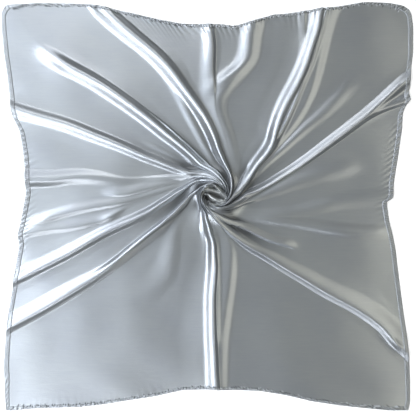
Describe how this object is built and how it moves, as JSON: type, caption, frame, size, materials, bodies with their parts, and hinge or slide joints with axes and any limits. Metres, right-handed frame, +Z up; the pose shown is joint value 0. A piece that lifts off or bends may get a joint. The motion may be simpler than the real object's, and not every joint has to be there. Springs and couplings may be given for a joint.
{
  "type": "square head scarf",
  "caption": "Square satin head scarf laid flat with turned hems, its middle pinched up and twisted so that folds run out to the edges.",
  "frame": {"origin": "centre of the laid scarf's outline, on the surface it lies on", "axes": "+X to the laid scarf's right edge, +Y to its upper edge, +Z up from the surface"},
  "size_m": [0.8704, 0.8624, 0.034],
  "materials": {
    "cloth": "silver-grey satin with a strong soft sheen",
    "hem": "silver-grey satin, turned and stitched, slightly puckered",
    "twist": "silver-grey satin wound tightly into ridges"
  },
  "bodies": {
    "root": {"cloth": "cloth", "twist": "twist", "hem_top": "hem", "hem_left": "hem", "hem_bottom": "hem", "hem_right": "hem"}
  },
  "joints": []
}
